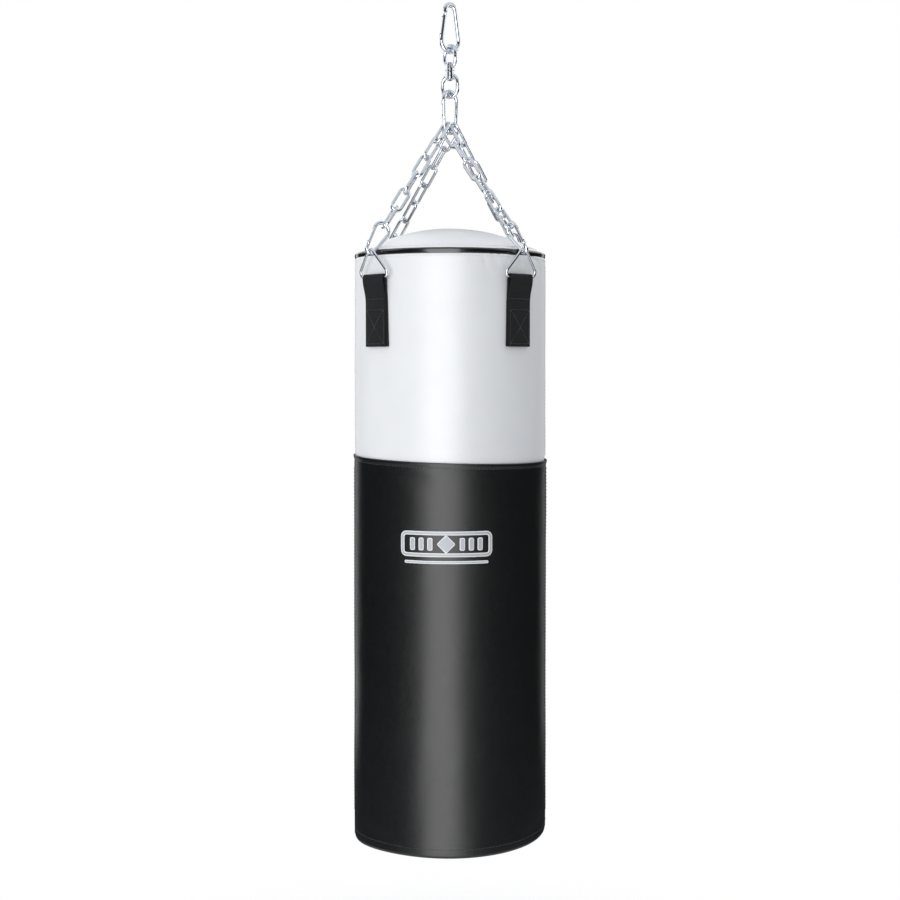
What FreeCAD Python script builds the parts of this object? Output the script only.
import FreeCAD, Part
import Sketcher
import math
import os
import re

from FreeCAD import Placement, Rotation, Vector

# A heavy punching bag that hangs from one point: a snap hook, a double-eye swivel, a second
# snap hook, four chains with small snap hooks, triangle rings in webbing loops, and the bag.
# The origin is the point that the top hook hangs from, inside its narrow bend. +Z is up.

UP = Vector(0, 0, 1)
ACROSS = Vector(0, 1, 0)

# Every driving size, in millimetres, or degrees where the name says turn or angle.
# A hook's narrow width is the room left inside its narrow end beside what that end holds, a
# ring's bend is the room round its hook's wire, and its rise is the piping's room under a hook.
SIZES = {
    # top snap hook, narrow end up
    "top_hook_wire": 8,
    "top_hook_length": 80,
    "top_hook_width": 40,
    "top_hook_narrow_width": 10,
    "top_hook_setback": 8,
    "top_hook_turn": 36,
    # lower snap hook, narrow end down, wide enough there for four chain links
    "lower_hook_wire": 7,
    "lower_hook_length": 70,
    "lower_hook_width": 35,
    "lower_hook_narrow_width": 2.5,
    "lower_hook_setback": 10,
    "lower_hook_turn": 45,
    # small snap hooks at the chain ends, narrow end in the rings
    "small_hook_wire": 6,
    "small_hook_length": 60,
    "small_hook_width": 30,
    "small_hook_narrow_width": 3,
    "small_hook_setback": 6,
    "small_hook_turn": 15,
    # what all snap hooks share
    "gate_share": 0.9,
    "tongue_share": 0.36,
    "pivot_share": 0.4,
    "spring_share": 0.42,
    "spring_wire_share": 0.1,
    "spring_length_share": 1.8,
    "nose_length_share": 0.7,
    "nose_width_share": 0.8,
    "pin_head_share": 0.75,
    "pin_rim_share": 0.2,
    "slot_side_gap": 0.25,
    "slot_end_gap": 0.9,
    "gate_end_gap": 0.6,
    "running_gap": 0.05,
    "contact_gap": 0.3,
    # double-eye swivel
    "swivel_wire": 7,
    "swivel_width": 34,
    "swivel_leg": 6,
    "swivel_boss_diameter": 15,
    "swivel_boss_reach": 4.9,
    "swivel_pin_diameter": 6,
    "swivel_head_diameter": 11,
    "swivel_head_height": 3,
    "swivel_washer_thickness": 1.5,
    "swivel_washer_diameter": 13,
    "upper_eye_turn": -50,
    "lower_eye_turn": -27,
    # chains
    "link_wire": 5,
    "link_inner_length": 35,
    "link_width": 20,
    "link_count": 6,
    "link_gap": 0.15,
    "inner_link_angle": 41,
    "outer_link_angle": 107.5,
    # triangle rings and webbing loops
    "ring_wire": 4,
    "ring_height": 46,
    "ring_bend": 2,
    "ring_rise": 0.183,
    "ring_standoff": 13.4,
    "webbing_width": 45,
    "webbing_thickness": 3,
    "webbing_length": 104,
    "webbing_joined": 26.5,
    "webbing_side_gap": 0.3,
    # bag
    "bag_diameter": 300,
    "bag_length": 897,
    "upper_length": 314,
    "cover_overlap": 25,
    "vinyl": 1.2,
    "layer_gap": 0.3,
    "foam": 12,
    "base_foam": 18,
    "dome_rise": 42,
    "piping_diameter": 6.5,
    "piping_proud": 0.5,
    "bottom_edge_radius": 8,
    "bottom_turn_in": 18,
    # closing zip on the top panel
    "zip_offset": 48,
    "zip_length": 190,
    "zip_tape_width": 30,
    "zip_tape_thickness": 0.8,
    "zip_coil_diameter": 3,
    "zip_slider_length": 14,
    "zip_slider_width": 9,
    "zip_slider_height": 5,
    "zip_bridge_wire": 1.2,
    "zip_bridge_radius": 3.4,
    "zip_bridge_start": -10,
    "zip_bridge_sweep": 200,
    "zip_groove_start": 60,
    "zip_groove_sweep": 60,
    "zip_pull_length": 24,
    "zip_pull_width": 5,
    "zip_pull_rail": 1.2,
    "zip_pull_gap": 0.1,
}

CORNERS = {
    "front_left": 225,
    "front_right": 315,
    "back_right": 45,
    "back_left": 135,
}

doc = FreeCAD.newDocument("punching_bag")
sheet = doc.addObject("Spreadsheet::Sheet", "Sizes")
for row, (word, number) in enumerate(SIZES.items(), start=1):
    sheet.set(f"A{row}", str(number))
    sheet.setAlias(f"A{row}", word)
doc.recompute()

WORDS = re.compile(r"[a-z][a-z_]*[a-z]")
PIECES = []


def formula(text):
    """The text with every size's name turned into a reference to its cell."""
    return WORDS.sub(lambda found: f"Sizes.{found[0]}" if found[0] in SIZES else found[0], text)


def size(text):
    """The number that a formula of sizes gives."""
    answer = sheet.evalExpression(formula(text))
    return float(getattr(answer, "Value", answer))


def bind(thing, prop, text, unit="mm"):
    """Ties one property to a formula of sizes."""
    thing.setExpression(prop, f"({formula(text)}) * 1 {unit}")


def named(thing, node):
    """Marks an object as a finished piece, which is written to its own file."""
    thing.Label = node
    PIECES.append(thing)
    return thing


def at(position, rotation=Rotation()):
    return Placement(position, rotation)


def primitive(kind, name, place, **sizes):
    """A Part primitive whose sizes are formulas; those of a turn are in degrees."""
    thing = doc.addObject("Part::" + kind, name)
    for prop, text in sizes.items():
        bind(thing, prop, text, "deg" if prop.startswith("Angle") else "mm")
    thing.Placement = place
    return thing


def fuse(name, shapes):
    joined = doc.addObject("Part::MultiFuse", name)
    joined.Shapes = shapes
    joined.Refine = True
    return joined


def cut(name, base, tool):
    result = doc.addObject("Part::Cut", name)
    result.Base = base
    result.Tool = tool
    return result


def common(name, first, second):
    result = doc.addObject("Part::MultiCommon", name)
    result.Shapes = [first, second]
    return result


def origin_plane(body, role):
    return next(part for part in body.Origin.OriginFeatures if part.Role == role)


def sketch(body, role, name):
    drawing = body.newObject("Sketcher::SketchObject", name)
    drawing.AttachmentSupport = [(origin_plane(body, role), "")]
    drawing.MapMode = "FlatFace"
    return drawing


def fix(drawing, geometry, point, across, up):
    """Ties a point of a sketch to the formulas of its two coordinates; None leaves one free."""
    for kind, text in (("DistanceX", across), ("DistanceY", up)):
        if text is not None:
            index = drawing.addConstraint(
                Sketcher.Constraint(kind, -1, 1, geometry, point, size(text))
            )
            bind(drawing, f"Constraints[{index}]", text)


def outline(drawing, corners, bends=None):
    """Draws a closed outline through the corners, whose coordinates are formulas.

    bends gives, for the side that follows a corner, the centre of the arc that takes a
    straight line's place; the arc runs anticlockwise, and only one coordinate of its centre
    is tied, because its two ends leave just that free.
    """
    points = [Vector(size(across), size(up), 0) for across, up in corners]
    for i, (start, end) in enumerate(zip(points, points[1:] + points[:1])):
        if bends and i in bends:
            (across, up), clockwise = bends[i]
            centre = Vector(size(across), size(up), 0)
            first, last = (end, start) if clockwise else (start, end)
            angles = [math.atan2((p - centre).y, (p - centre).x) for p in (first, last)]
            if angles[1] <= angles[0]:
                angles[1] += 2 * math.pi
            circle = Part.Circle(centre, UP, (start - centre).Length)
            side = drawing.addGeometry(Part.ArcOfCircle(circle, *angles))
            begin = 2 if clockwise else 1
            flat = abs(start.y - end.y) < abs(start.x - end.x)
            fix(drawing, side, begin, *corners[i])
            fix(drawing, side, 3 - begin, *corners[(i + 1) % len(corners)])
            fix(drawing, side, 3, None if flat else across, up if flat else None)
        else:
            side = drawing.addGeometry(Part.LineSegment(start, end))
            fix(drawing, side, 1, *corners[i])
            fix(drawing, side, 2, *corners[(i + 1) % len(corners)])


def circle(drawing, diameter):
    """A circle about the sketch's origin."""
    ring = drawing.addGeometry(Part.Circle(Vector(), UP, size(diameter) / 2))
    drawing.addConstraint(Sketcher.Constraint("Coincident", ring, 3, -1, 1))
    index = drawing.addConstraint(Sketcher.Constraint("Diameter", ring, size(diameter)))
    bind(drawing, f"Constraints[{index}]", diameter)


def part_body(node, place):
    body = doc.addObject("PartDesign::Body", node)
    body.Placement = place
    return named(body, node)


def pad(body, drawing, length, both_ways=False):
    feature = body.newObject("PartDesign::Pad", body.Name + "_pad")
    feature.Profile = drawing
    feature.Midplane = both_ways
    bind(feature, "Length", length)
    return feature


def turned(body, drawing):
    """Revolves a half outline about its sketch's upright axis."""
    feature = body.newObject("PartDesign::Revolution", body.Name + "_turned")
    feature.Profile = drawing
    feature.ReferenceAxis = (drawing, ["V_Axis"])
    feature.Angle = 360
    return feature


def washer_like(node, outer, inner, thickness, place):
    """A flat ring that stands on its lower face."""
    body = part_body(node, place)
    drawing = sketch(body, "XY_Plane", node + "_rings")
    circle(drawing, outer)
    circle(drawing, inner)
    pad(body, drawing, thickness)
    return body


def bar(name, wire, length, start, direction):
    """A straight run of round wire."""
    place = at(start, Rotation(UP, direction))
    return primitive("Cylinder", name, place, Radius=f"{wire} / 2", Height=length)


def bend(name, centre, radius, wire, first, sweep):
    """A bend of round wire in the XZ plane, from an angle that is counted from +X to +Z."""
    upright = Rotation(Vector(1, 0, 0), 90) * Rotation(UP, first)
    return primitive(
        "Torus", name, at(centre, upright), Radius1=radius, Radius2=f"{wire} / 2", Angle3=sweep
    )


# Snap hooks. In a hook's own frame the loop lies in the XZ plane, the wide bend is centred on
# the origin, the narrow end points to +Z and the gate closes the -X side.


HELD = {"top_hook": "0", "lower_hook": "3 * link_wire", "small_hook": "ring_wire"}


class Hook:
    """The measures that a hook's pieces share, worked out from its sizes and what it holds."""

    def __init__(self, kind):
        self.kind = kind
        self.wide = f"({kind}_width - {kind}_wire) / 2"
        self.narrow = f"({kind}_narrow_width + {HELD[kind]} + {kind}_wire) / 2"
        self.centres = f"({kind}_length - {kind}_width / 2 - {kind}_wire / 2 - {self.narrow})"
        self.slope = f"asin(({self.wide} - {self.narrow}) / {self.centres})"
        self.leg = f"{self.centres} * cos({self.slope})"
        self.gate = f"{kind}_wire * gate_share"
        self.tongue = f"{kind}_wire * tongue_share"
        self.nose = f"{kind}_wire * nose_length_share"
        self.gate_length = f"({self.leg} - {kind}_setback - gate_end_gap)"
        self.hinge_reach = f"({self.gate} / 2 - gate_end_gap / 2)"
        self.hinge_slot = f"(sqrt(2) * {self.gate} / 2 + slot_end_gap / 3)"
        self.pin = f"{kind}_wire * pivot_share"
        slope = math.radians(size(self.slope))
        self.along = Vector(math.sin(slope), 0, math.cos(slope))
        self.tilt = Rotation(ACROSS, math.degrees(slope))
        self.narrow_end = Vector(
            -size(self.narrow) * self.along.z,
            0,
            size(self.centres) + size(self.narrow) * self.along.x,
        )
        self.pivot = self.narrow_end - self.along * size(f"{kind}_setback")
        self.nose_root = Vector(
            -size(self.wide) * self.along.z, 0, size(self.wide) * self.along.x
        )

    def block(self, name, width, thickness, height, low, origin):
        """A box centred on the gate's line, whose lowest face is low above a point on it."""
        place = at(origin, self.tilt) * at(
            Vector(-size(width) / 2, -size(thickness) / 2, size(low))
        )
        return primitive("Box", name, place, Length=width, Width=thickness, Height=height)

    def rod(self, name, diameter, length, low, origin):
        """A cylinder on the gate's line, whose lower end is low above a point on it."""
        place = at(origin, self.tilt) * at(Vector(0, 0, size(low)))
        return primitive("Cylinder", name, place, Radius=f"{diameter} / 2", Height=length)

    def cross_pin(self, name, diameter, length, origin):
        """A cylinder across the hook through the gate's pivot."""
        place = at(origin + ACROSS * size(length) / 2, Rotation(UP, -ACROSS))
        return primitive("Cylinder", name, place, Radius=f"{diameter} / 2", Height=length)


def hook_body(hook, node, place):
    """The bent wire, open on the gate's side, with a flat tongue at either end of the opening."""
    kind = hook.kind
    slope = size(hook.slope)
    wire = f"{kind}_wire"
    spine_foot = Vector(-hook.nose_root.x, 0, hook.nose_root.z)
    spine_way = Vector(-hook.along.x, 0, hook.along.z)
    clear = f"({hook.gate} / 2 + gate_end_gap)"
    solid = fuse(
        node + "_solid",
        [
            bend(
                node + "_narrow_bend",
                Vector(0, 0, size(hook.centres)),
                hook.narrow,
                wire,
                slope,
                f"180 - 2 * {hook.slope} / 1 deg",
            ),
            bend(
                node + "_wide_bend",
                Vector(),
                hook.wide,
                wire,
                180 - slope,
                f"180 + 2 * {hook.slope} / 1 deg",
            ),
            bar(node + "_spine", wire, hook.leg, spine_foot, spine_way),
            hook.rod(node + "_stub", wire, f"{kind}_setback - {clear}", clear, hook.pivot),
            hook.block(
                node + "_hinge_tongue",
                f"2 * {hook.hinge_reach}",
                hook.tongue,
                f"{kind}_setback + {hook.hinge_reach}",
                f"-{hook.hinge_reach}",
                hook.pivot,
            ),
            hook.block(
                node + "_nose_tongue",
                f"{hook.gate} * nose_width_share",
                hook.tongue,
                f"{wire} / 4 + {hook.nose}",
                f"-{wire} / 4",
                hook.nose_root,
            ),
        ],
    )
    hole = hook.cross_pin(node + "_hole", hook.pin, f"{wire} * 2", hook.pivot)
    result = named(cut(node, solid, hole), node)
    result.Placement = place
    return result


def hook_gate(hook, node, place):
    """The gate: a rod with a round end at the pivot, forked at both ends and bored for its spring."""
    slot = f"{hook.tongue} + 2 * slot_side_gap"
    rod = fuse(
        node + "_rod",
        [
            hook.rod(node + "_bar", hook.gate, hook.gate_length, f"-{hook.gate_length}", hook.pivot),
            primitive(
                "Sphere", node + "_round_end", at(hook.pivot), Radius=f"{hook.gate} / 2"
            ),
        ],
    )
    room = fuse(
        node + "_room",
        [
            hook.block(
                node + "_hinge_slot",
                f"{hook.gate} * 2",
                slot,
                f"{hook.gate} + {hook.hinge_slot}",
                f"-{hook.hinge_slot}",
                hook.pivot,
            ),
            hook.block(
                node + "_nose_slot",
                f"{hook.gate} * 2",
                slot,
                f"{hook.nose} + slot_end_gap + {hook.gate}",
                f"-{hook.gate_length} - {hook.gate}",
                hook.pivot,
            ),
            hook.cross_pin(
                node + "_pin_hole", f"({hook.pin} + 2 * running_gap)", f"{hook.gate} * 2", hook.pivot
            ),
            hook.rod(
                node + "_spring_bore",
                f"({hook.kind}_wire * spring_share + 2 * running_gap)",
                f"{hook.kind}_wire * spring_length_share + {hook.gate} / 4",
                f"-{hook.hinge_slot} - {hook.kind}_wire * spring_length_share",
                hook.pivot,
            ),
        ],
    )
    result = named(cut(node, rod, room), node)
    result.Placement = place
    return result


def hook_pin(hook, node, place):
    """The rivet that the gate turns on, with a low head on either side."""
    frame = place * at(hook.pivot, Rotation(Vector(1, 0, 0), 90))
    body = part_body(node, frame)
    drawing = sketch(body, "XZ_Plane", node + "_half")
    half = f"({hook.gate} / 2 + running_gap)"
    radius = f"{hook.pin} / 2"
    head = f"{hook.pin} * pin_head_share"
    top = f"{half} + {hook.pin} * pin_rim_share"
    outline(
        drawing,
        [
            ("0", f"-({top})"),
            (radius, f"-({top})"),
            (head, f"-{half}"),
            (radius, f"-{half}"),
            (radius, half),
            (head, half),
            (radius, top),
            ("0", top),
        ],
    )
    turned(body, drawing)
    return body


def hook_spring(hook, node, place):
    """The coil spring in the gate's bore, which presses on the hinge tongue."""
    wire = size(f"{hook.kind}_wire * spring_wire_share")
    radius = size(f"{hook.kind}_wire * spring_share / 2") - wire / 2
    length = size(f"{hook.kind}_wire * spring_length_share") - wire
    pitch = wire * 3
    coil = Part.makeHelix(pitch, length - wire, radius)
    section = Part.Wire([Part.makeCircle(wire / 2, Vector(radius, 0, 0), ACROSS)])
    spring = doc.addObject("Part::Feature", node)
    spring.Shape = Part.Wire(coil.Edges).makePipeShell([section], True, True)
    foot = -size(f"{hook.hinge_slot} + {hook.kind}_wire * spring_length_share") + wire
    spring.Placement = place * at(hook.pivot, hook.tilt) * at(Vector(0, 0, foot))
    return named(spring, node)


def snap_hook(kind, name, place):
    """All four pieces of a snap hook, at one place."""
    hook = Hook(kind)
    hook_body(hook, name + "_body", place)
    hook_gate(hook, name + "_gate", place)
    hook_pin(hook, name + "_pin", place)
    hook_spring(hook, name + "_spring", place)
    return hook


# Levels of the parts that hang straight below the origin.

TOP_HOOK = Hook("top_hook")
LOWER_HOOK = Hook("lower_hook")
SMALL_HOOK = Hook("small_hook")

top_bend_z = -size("top_hook_length - 3 * top_hook_wire / 2")
upper_eye_z = top_bend_z + size("(top_hook_wire + swivel_wire) / 2 + contact_gap")
eye_height = size("swivel_width - swivel_wire + swivel_leg")
pin_gap = size("2 * swivel_boss_reach + swivel_washer_thickness + 2 * contact_gap")
lower_eye_z = upper_eye_z - 2 * eye_height - pin_gap
lower_hook_z = lower_eye_z + size("(swivel_wire + lower_hook_wire) / 2 + contact_gap")
bend_centre_z = lower_hook_z - size(f"{LOWER_HOOK.wide} + {LOWER_HOOK.centres}")


def top_snap_hook():
    """The hook that hangs the bag, narrow end up, with the origin inside its narrow bend."""
    z = top_bend_z + size(TOP_HOOK.wide)
    snap_hook("top_hook", "top_hook", at(Vector(0, 0, z), Rotation(UP, size("top_hook_turn"))))


def lower_snap_hook():
    """The hook below the swivel, turned over so that its narrow end holds the chains."""
    z = lower_hook_z - size(LOWER_HOOK.wide)
    turn = Rotation(UP, size("lower_hook_turn")) * Rotation(Vector(1, 0, 0), 180)
    snap_hook("lower_hook", "lower_hook", at(Vector(0, 0, z), turn))


# Swivel. An eye's own frame has the bend that holds the hook on top and the boss at the foot.


def swivel_eye(node, place):
    wire = "swivel_wire"
    radius = "(swivel_width - swivel_wire) / 2"
    reach = size(radius)
    leg = size("swivel_leg")
    foot = Vector(0, 0, -reach - leg)
    solid = fuse(
        node + "_solid",
        [
            bend(node + "_top_bend", Vector(0, 0, -reach), radius, wire, 0, "180"),
            bend(node + "_foot_bend", foot, radius, wire, 180, "180"),
            bar(node + "_leg_a", wire, "swivel_leg", foot + Vector(reach, 0, 0), UP),
            bar(node + "_leg_b", wire, "swivel_leg", foot - Vector(reach, 0, 0), UP),
            primitive(
                "Cylinder",
                node + "_boss",
                at(Vector(0, 0, -eye_height - size("swivel_boss_reach"))),
                Radius="swivel_boss_diameter / 2",
                Height="2 * swivel_boss_reach",
            ),
        ],
    )
    hole = primitive(
        "Cylinder",
        node + "_bore",
        at(Vector(0, 0, -eye_height - size("swivel_boss_diameter"))),
        Radius="swivel_pin_diameter / 2 + running_gap",
        Height="2 * swivel_boss_diameter",
    )
    result = named(cut(node, solid, hole), node)
    result.Placement = place
    return result


def swivel():
    """Two oval eyes that turn against each other on one riveted pin, with a washer between."""
    upper_turn = Rotation(UP, size("upper_eye_turn"))
    lower_turn = Rotation(UP, size("lower_eye_turn")) * Rotation(Vector(1, 0, 0), 180)
    swivel_eye("swivel_upper_eye", at(Vector(0, 0, upper_eye_z), upper_turn))
    swivel_eye("swivel_lower_eye", at(Vector(0, 0, lower_eye_z), lower_turn))
    middle = (upper_eye_z + lower_eye_z) / 2
    washer_like(
        "swivel_washer",
        "swivel_washer_diameter",
        "swivel_pin_diameter + 2 * running_gap",
        "swivel_washer_thickness",
        at(Vector(0, 0, middle - size("swivel_washer_thickness") / 2)),
    )
    pin = part_body("swivel_pin", at(Vector(0, 0, middle)))
    drawing = sketch(pin, "XZ_Plane", "swivel_pin_half")
    grip = "(2 * swivel_boss_reach + swivel_washer_thickness / 2 + 2 * contact_gap)"
    top = f"{grip} + swivel_head_height"
    shaft = "swivel_pin_diameter / 2"
    head = "swivel_head_diameter / 2"
    outline(
        drawing,
        [
            ("0", f"-({top})"),
            (shaft, f"-({top})"),
            (head, f"-({grip} + swivel_head_height / 3)"),
            (head, f"-{grip}"),
            (shaft, f"-{grip}"),
            (shaft, grip),
            (head, grip),
            (head, f"{grip} + swivel_head_height / 3"),
            (shaft, top),
            ("0", top),
        ],
    )
    turned(pin, drawing)


# Chains. Each hangs on the lower hook's narrow bend and pulls straight at its ring.


def radial(angle):
    return Vector(math.cos(math.radians(angle)), math.sin(math.radians(angle)), 0)


def unit(vector):
    return Vector(vector) / vector.Length


def square_to(vector, axis):
    """The part of a vector that is square to an axis, as a unit vector."""
    return unit(vector - axis * vector.dot(axis))


UPPER_RADIUS = size("bag_diameter / 2 - vinyl - layer_gap")
RING_RADIUS = UPPER_RADIUS + size("ring_standoff")
PIPING_RING = "(bag_diameter / 2 - vinyl - layer_gap + piping_proud - piping_diameter / 2)"
FOOT_STANDOFF = "(layer_gap + webbing_thickness + webbing_side_gap + ring_wire / 2)"
hook_way = radial(size("lower_hook_turn"))
hook_face = radial(size("lower_hook_turn") + 90)


class Chain:
    """Where one chain starts, which way it runs and how its links are turned."""

    def __init__(self, angle):
        self.out = radial(angle)
        lean = math.asin(size(f"(ring_standoff - {FOOT_STANDOFF}) / (ring_height - ring_wire)"))
        self.ring_up = UP * math.cos(lean) + self.out * math.sin(lean)
        self.ring_in = UP * math.sin(lean) - self.out * math.cos(lean)
        across = self.out.dot(hook_way)
        if abs(across) > 0.5:
            turn = math.copysign(size("outer_link_angle"), across)
        else:
            turn = math.copysign(size("inner_link_angle"), self.out.dot(hook_face))
        turn = math.radians(turn)
        radius = size(LOWER_HOOK.narrow)
        self.wire_way = hook_way * math.cos(turn) + UP * math.sin(turn)
        self.on_hook = Vector(0, 0, bend_centre_z) + (
            hook_way * math.sin(turn) - UP * math.cos(turn)
        ) * radius

    def aim(self, ring_z):
        """Finds the first link's place and the chain's direction for a ring at this height."""
        self.ring = self.out * RING_RADIUS + UP * ring_z
        reach = size("(lower_hook_wire + link_wire) / 2 + contact_gap")
        self.start = self.on_hook
        for _ in range(30):
            self.way = unit(self.ring - self.start)
            self.start = self.on_hook - square_to(self.way, self.wire_way) * reach
        self.span = (self.ring - self.start).Length
        return self.span


hook_hold = size(
    "small_hook_length - small_hook_wire - (small_hook_wire + ring_wire) / 2 - link_gap"
)
last_hold = size("link_inner_length + (link_wire - small_hook_wire) / 2 - link_gap")
full_pitch = size("link_inner_length - link_gap")
links = int(size("link_count"))
chains = {name: Chain(angle) for name, angle in CORNERS.items()}


def ring_height_for_chains():
    """The height at which the longest chain is just taut."""
    longest = full_pitch * (links - 1) + last_hold + hook_hold
    low, high = bend_centre_z - longest, bend_centre_z
    for _ in range(60):
        middle = (low + high) / 2
        if max(chain.aim(middle) for chain in chains.values()) > longest:
            low = middle
        else:
            high = middle
    return high


def hook_face_way(chain):
    """The small hook's facing direction, turned about the chain from the rim's tangent."""
    tangent = UP.cross(chain.out)
    return Rotation(chain.way, size("small_hook_turn")).multVec(tangent)


def small_hook_place(chain):
    """The small hook's frame, between a chain's last link and its ring, gate on the outer side."""
    face = hook_face_way(chain)
    inward = face.cross(chain.way)
    if inward.dot(chain.out) > 0:
        face = -face
        inward = -inward
    centre = chain.ring + chain.way * size(f"{SMALL_HOOK.wide} - {hook_hold}")
    return at(centre, Rotation(inward, face, chain.way, "ZXY"))


def rim_under_hooks():
    """The rim's height at which the piping lies ring_rise clear of the small hooks' inner wires."""
    ring = size(PIPING_RING)
    clear = size("(small_hook_wire + piping_diameter) / 2 + ring_rise")
    narrow, centres = size(SMALL_HOOK.narrow), size(SMALL_HOOK.centres)
    foot = Vector(-SMALL_HOOK.nose_root.x, 0, SMALL_HOOK.nose_root.z)
    wire = [foot + Vector(-SMALL_HOOK.along.x, 0, SMALL_HOOK.along.z) * size(SMALL_HOOK.leg) * i / 40
            for i in range(41)]
    wire += [Vector(narrow * math.cos(math.radians(a)), 0, centres + narrow * math.sin(math.radians(a)))
             for a in range(0, 91, 5)]
    heights = []
    for chain in chains.values():
        for spot in map(small_hook_place(chain).multVec, wire):
            away = math.hypot(spot.x, spot.y) - ring
            if abs(away) < clear:
                heights.append(spot.z - math.sqrt(clear**2 - away**2))
    return min(heights)


ring_z = ring_height_for_chains()
rim_z = rim_under_hooks()


def chain_link():
    """One long link in the XZ plane, from its first end at the origin up to its second."""
    radius = "(link_width - link_wire) / 2"
    reach = size(radius)
    leg = "(link_inner_length + 2 * link_wire - link_width)"
    far = Vector(0, 0, reach + size(leg))
    return fuse(
        "chain_link",
        [
            bend("link_far_bend", far, radius, "link_wire", 0, "180"),
            bend("link_near_bend", Vector(0, 0, reach), radius, "link_wire", 180, "180"),
            bar("link_leg_a", "link_wire", leg, Vector(reach, 0, reach), UP),
            bar("link_leg_b", "link_wire", leg, Vector(-reach, 0, reach), UP),
        ],
    )


def hang_chain(name, chain, link):
    """Places every link of one chain, each a quarter turn and its share of the twist further."""
    first = square_to(chain.wire_way, chain.way)
    last = chain.way.cross(hook_face_way(chain))
    total = math.degrees(math.atan2(chain.way.dot(first.cross(last)), first.dot(last)))
    twist = (total - 90 * (links - 1) + 90) % 180 - 90
    step = 90 + twist / (links - 1)
    pitch = (chain.span - hook_hold - last_hold) / (links - 1)
    print(f"{name}: pitch {pitch:.3f}, turn from link to link {step:.1f}")
    copies = []
    for k in range(links):
        normal = Rotation(chain.way, step * k).multVec(first)
        turn = Rotation(normal.cross(chain.way), normal, chain.way, "ZYX")
        copies.append(link.Shape.copy())
        copies[-1].Placement = at(chain.start + chain.way * pitch * k, turn)
    group = doc.addObject("Part::Feature", name)
    group.Shape = Part.makeCompound(copies)
    named(group, name)


def hang_small_hook(name, chain):
    """The small hook between a chain's last link and its ring."""
    snap_hook("small_hook", name, small_hook_place(chain))


def triangle_ring(node, chain):
    """A bent wire triangle, apex up and leaning out, with its foot in the webbing."""
    half = "(webbing_width / 2 + webbing_side_gap)"
    curve = "(ring_bend + (small_hook_wire + ring_wire) / 2)"
    rise = f"(ring_height - ring_wire - 2 * {curve})"
    side = f"sqrt({half} * {half} + {rise} * {rise})"
    lean = math.degrees(math.atan2(size(half), size(rise)))
    sweep = f"atan({half} / {rise}) / 1 deg"
    right = Vector(size(half), 0, 0)
    apex = Vector(0, 0, size(rise))
    normal = Vector(math.cos(math.radians(lean)), 0, math.sin(math.radians(lean)))
    mirror = Vector(-normal.x, 0, normal.z)
    radius = size(curve)
    wire = "ring_wire"
    foot = Vector(-right.x, 0, -radius)
    solid = fuse(
        node,
        [
            bend(node + "_apex", apex, curve, wire, lean, f"180 - 2 * {sweep}"),
            bend(node + "_corner_a", right, curve, wire, -90, f"90 + {sweep}"),
            bend(node + "_corner_b", -right, curve, wire, 180 - lean, f"90 + {sweep}"),
            bar(node + "_side_a", wire, side, right + normal * radius, unit(apex - right)),
            bar(node + "_side_b", wire, side, mirror * radius - right, unit(apex + right)),
            bar(node + "_foot", wire, f"2 * {half}", foot, Vector(1, 0, 0)),
        ],
    )
    tangent = UP.cross(chain.out)
    centre = chain.ring - chain.ring_up * size(f"{rise} + {curve}")
    solid.Placement = at(centre, Rotation(tangent, chain.ring_in, chain.ring_up, "ZXY"))
    return named(solid, node)


def webbing_loop(node, chain):
    """A loop of doubled webbing round the ring's foot, laid down on the bag's side."""
    foot = chain.ring - chain.ring_up * size("ring_height - ring_wire")
    place = at(foot, Rotation(chain.out, UP.cross(chain.out), UP, "ZXY"))
    body = part_body(node, place)
    drawing = sketch(body, "XZ_Plane", node + "_side")
    loop = "(ring_wire / 2 + webbing_side_gap + webbing_thickness)"
    front = f"(2 * webbing_thickness - {loop})"
    outline(
        drawing,
        [
            (f"-{loop}", "-webbing_length"),
            (front, "-webbing_length"),
            (front, "-webbing_joined"),
            (loop, "0"),
            (f"-{loop}", "0"),
        ],
        bends={3: (("0", "0"), False)},
    )
    circle(drawing, "ring_wire + 2 * webbing_side_gap")
    pad(body, drawing, "webbing_width", both_ways=True)
    return body


def suspension():
    link = chain_link()
    doc.recompute()
    for name, chain in chains.items():
        hang_chain("chain_" + name, chain, link)
        hang_small_hook("small_hook_" + name, chain)
        triangle_ring("ring_" + name, chain)
        webbing_loop("webbing_" + name, chain)


# The bag. Radii go inwards one layer at a time, each a small gap inside the last.

LOWER_OUT = "bag_diameter / 2"
LOWER_IN = f"({LOWER_OUT} - vinyl)"
UPPER_OUT = f"({LOWER_IN} - layer_gap)"
UPPER_IN = f"({UPPER_OUT} - vinyl)"
LINER_OUT = f"({UPPER_IN} - layer_gap)"
LINER_IN = f"({LINER_OUT} - foam)"
CORE_OUT = f"({LINER_IN} - layer_gap)"
DOME = f"(({UPPER_OUT} * {UPPER_OUT} + dome_rise * dome_rise) / (2 * dome_rise))"


def upper_cover():
    """The sleeve of light vinyl, whose foot tucks inside the dark one."""
    low = rim_z - size("upper_length + cover_overlap")
    washer_like(
        "upper_cover",
        f"2 * {UPPER_OUT}",
        f"2 * {UPPER_IN}",
        "upper_length + cover_overlap - piping_diameter / 2 - layer_gap",
        at(Vector(0, 0, low)),
    )


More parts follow.
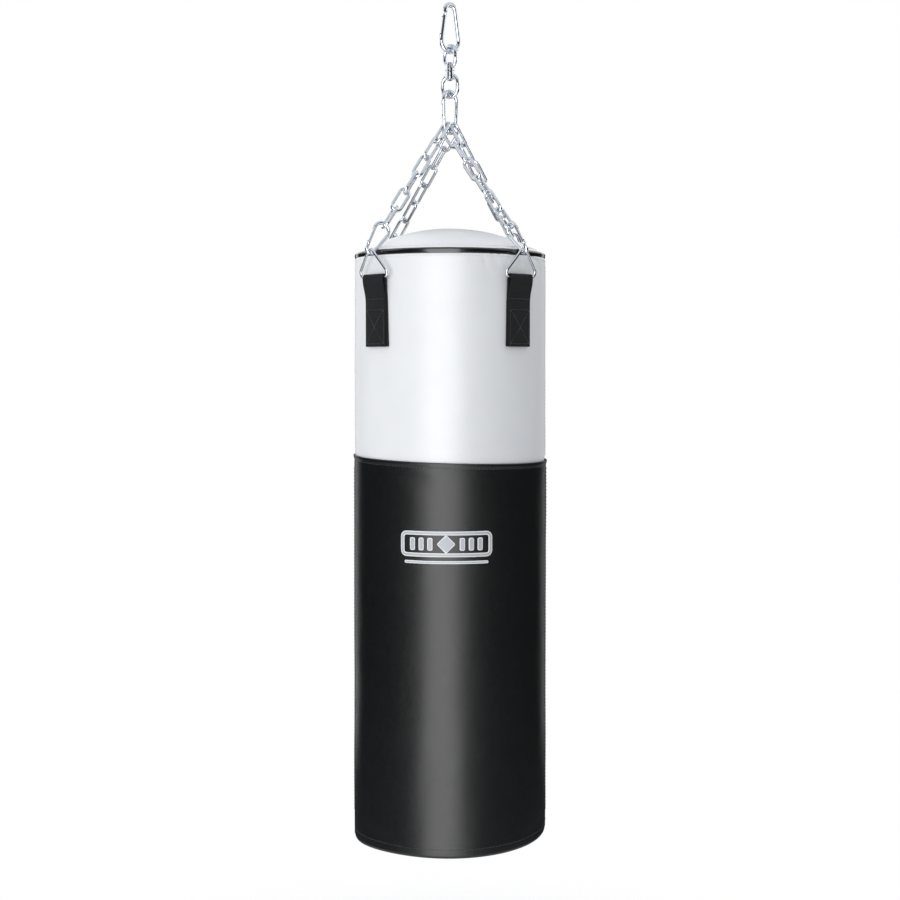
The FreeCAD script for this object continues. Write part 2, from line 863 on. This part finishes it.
def lower_cover():
    """The dark vinyl sleeve, with a rounded lower edge turned in under the bag."""
    body = part_body("lower_cover", at(Vector(0, 0, rim_z - size("bag_length"))))
    drawing = sketch(body, "XZ_Plane", "lower_cover_half")
    edge = "bottom_edge_radius"
    turn_in = f"({LOWER_OUT} - {edge} - bottom_turn_in)"
    outline(
        drawing,
        [
            (turn_in, "0"),
            (f"{LOWER_OUT} - {edge}", "0"),
            (LOWER_OUT, edge),
            (LOWER_OUT, "bag_length - upper_length"),
            (LOWER_IN, "bag_length - upper_length"),
            (LOWER_IN, edge),
            (f"{LOWER_OUT} - {edge}", "vinyl"),
            (turn_in, "vinyl"),
        ],
        bends={
            1: ((f"{LOWER_OUT} - {edge}", edge), False),
            5: ((f"{LOWER_OUT} - {edge}", edge), True),
        },
    )
    turned(body, drawing)


def foam_and_fill():
    """The foam that lines the bag, the foam at its foot and the packed textile inside."""
    foot = "-(bag_length - 2 * vinyl - 2 * layer_gap)"
    inner_foot = f"({foot} + base_foam + layer_gap)"
    base = part_body("foam_base", at(Vector(0, 0, rim_z + size(foot))))
    drawing = sketch(base, "XY_Plane", "foam_base_disc")
    circle(drawing, f"2 * {CORE_OUT}")
    pad(base, drawing, "base_foam")
    liner_low = f"({foot} + bottom_edge_radius - vinyl)"
    top = "-(piping_diameter / 2 + layer_gap)"
    washer_like(
        "foam_liner",
        f"2 * {LINER_OUT}",
        f"2 * {LINER_IN}",
        f"{top} - {liner_low}",
        at(Vector(0, 0, rim_z + size(liner_low))),
    )
    low = size(inner_foot) + rim_z
    centre = Vector(0, 0, rim_z + size(f"dome_rise - {DOME}"))
    column = primitive(
        "Cylinder",
        "fill_column",
        at(Vector(0, 0, low)),
        Radius=CORE_OUT,
        Height=f"dome_rise - {inner_foot}",
    )
    crown = primitive("Sphere", "fill_crown", at(centre), Radius=f"{DOME} - vinyl - layer_gap")
    tall = primitive(
        "Cylinder",
        "fill_reach",
        at(Vector(0, 0, low)),
        Radius=LINER_OUT,
        Height=f"{top} - {inner_foot} + piping_diameter / 4",
    )
    block = fuse("fill_shape", [common("fill_top", column, crown), common("fill_foot", column, tall)])
    named(block, "textile_fill")


def top_panel():
    """The domed vinyl panel that closes the bag's top."""
    centre = Vector(0, 0, rim_z + size(f"dome_rise - {DOME}"))
    outer = primitive("Sphere", "dome_outside", at(centre), Radius=DOME)
    inner = primitive("Sphere", "dome_inside", at(centre), Radius=f"{DOME} - vinyl")
    reach = primitive(
        "Cylinder",
        "dome_reach",
        at(Vector(0, 0, rim_z)),
        Radius=f"{UPPER_OUT} - piping_diameter",
        Height="2 * dome_rise",
    )
    named(common("top_panel", cut("dome_shell", outer, inner), reach), "top_panel")


def top_piping():
    """The round piping sewn into the seam between the top panel and the upper cover."""
    piping = primitive(
        "Torus",
        "top_piping",
        at(Vector(0, 0, rim_z)),
        Radius1=PIPING_RING,
        Radius2="piping_diameter / 2",
    )
    named(piping, "top_piping")


def bottom_panel():
    """The flat vinyl disc sewn inside the turned-in lower edge."""
    body = part_body("bottom_panel", at(Vector(0, 0, rim_z - size("bag_length - vinyl - layer_gap"))))
    drawing = sketch(body, "XY_Plane", "bottom_panel_disc")
    circle(drawing, f"2 * ({LOWER_OUT} - bottom_edge_radius)")
    pad(body, drawing, "vinyl")


# The closing zip lies on the dome, parallel to X and behind its crown, so that the slider turns
# about an axis along Y through the dome's centre.


PULL_RISE = size(
    "sqrt(zip_pull_rail * zip_pull_rail + zip_bridge_wire * zip_bridge_wire / 4) + zip_pull_gap"
)


def closing_zip():
    """The zip that the bag is filled through: its tape, its coil, and the slider on the coil."""
    centre = Vector(0, 0, rim_z + size(f"dome_rise - {DOME}"))
    offset = size("zip_offset")
    skin = f"{DOME} + layer_gap"
    outer = primitive("Sphere", "tape_outside", at(centre), Radius=f"{skin} + zip_tape_thickness")
    inner = primitive("Sphere", "tape_inside", at(centre), Radius=skin)
    strip = primitive(
        "Box",
        "tape_strip",
        at(Vector(-size("zip_length") / 2, offset - size("zip_tape_width") / 2, rim_z)),
        Length="zip_length",
        Width="zip_tape_width",
        Height="2 * dome_rise",
    )
    named(common("zip_tape", cut("tape_shell", outer, inner), strip), "zip_tape")
    lean = math.asin(offset / size(f"{DOME}"))
    outward = Vector(0, math.sin(lean), math.cos(lean))
    track = size(f"{skin} + zip_tape_thickness + layer_gap + zip_coil_diameter / 2")
    axis = centre + Vector(0, outward.y * track, 0)
    radius = f"({skin} + zip_tape_thickness + layer_gap + zip_coil_diameter / 2) * {outward.z:.9f}"
    half = math.degrees(math.asin(size("zip_length / 2 - zip_slider_length") / (track * outward.z)))
    coil = bend("zip_coil", axis, radius, "zip_coil_diameter", 90 - half, f"{2 * half:.6f}")
    named(coil, "zip_coil")
    place = at(axis, Rotation(ACROSS, -half)) * at(
        Vector(0, 0, track * outward.z), Rotation(Vector(1, 0, 0), -math.degrees(lean))
    )
    slider_and_pull(place, axis, radius)


def slider_and_pull(place, axis, coil_radius):
    """The slider over the coil's start, its bridge, and the pull tab hung in the bridge.

    In the frame of the place given, +X runs along the coil, +Z leaves the bag, and the coil's
    centre is at the origin.
    """
    length = size("zip_slider_length")
    top = size("zip_slider_height - zip_coil_diameter / 2")
    shell = primitive(
        "Box",
        "slider_block",
        place * at(Vector(-length, -size("zip_slider_width / 2"), -size("zip_coil_diameter / 2"))),
        Length="zip_slider_length",
        Width="zip_slider_width",
        Height="zip_slider_height",
    )
    arch = bend(
        "slider_bridge",
        Vector(-length / 2, 0, top),
        "zip_bridge_radius",
        "zip_bridge_wire",
        size("zip_bridge_start"),
        "zip_bridge_sweep",
    )
    arch.Placement = place * arch.Placement
    groove = "(zip_coil_diameter + 2 * contact_gap)"
    track = bend(
        "slider_groove", axis, coil_radius, groove, size("zip_groove_start"), "zip_groove_sweep"
    )
    named(cut("zip_slider", fuse("slider_metal", [shell, arch]), track), "zip_slider")
    thick = size("zip_bridge_wire")
    rail = size("zip_pull_rail")
    pivot = place * at(Vector(-length / 2, 0, top + PULL_RISE))
    plate = primitive(
        "Box",
        "pull_plate",
        pivot * at(Vector(-rail, -size("zip_pull_width / 2"), -thick / 2)),
        Length="zip_pull_length",
        Width="zip_pull_width",
        Height="zip_bridge_wire",
    )
    window = primitive(
        "Box",
        "pull_window",
        pivot * at(Vector(rail, rail - size("zip_pull_width / 2"), -thick)),
        Length="2 * zip_bridge_radius",
        Width="zip_pull_width - 2 * zip_pull_rail",
        Height="2 * zip_bridge_wire",
    )
    named(cut("zip_pull", plate, window), "zip_pull")


def check_and_write():
    """Stops at a failed object or a bad shape, then writes every piece."""
    doc.recompute()
    for thing in doc.Objects:
        if {"Invalid", "Error"} & set(thing.State):
            raise RuntimeError(f"{thing.Label} failed: {thing.State}")
    os.makedirs("parts", exist_ok=True)
    for piece in PIECES:
        shape = piece.Shape
        if shape.isNull() or not shape.isValid() or not shape.Solids:
            raise RuntimeError(f"{piece.Label} has no valid solid")
        shape.exportStep(f"parts/{piece.Label}.step")
    print(f"{len(PIECES)} pieces, rim at {rim_z:.2f}, ring apex wire at {ring_z:.2f}")


top_snap_hook()
swivel()
lower_snap_hook()
suspension()
upper_cover()
lower_cover()
foam_and_fill()
top_panel()
top_piping()
bottom_panel()
closing_zip()
check_and_write()
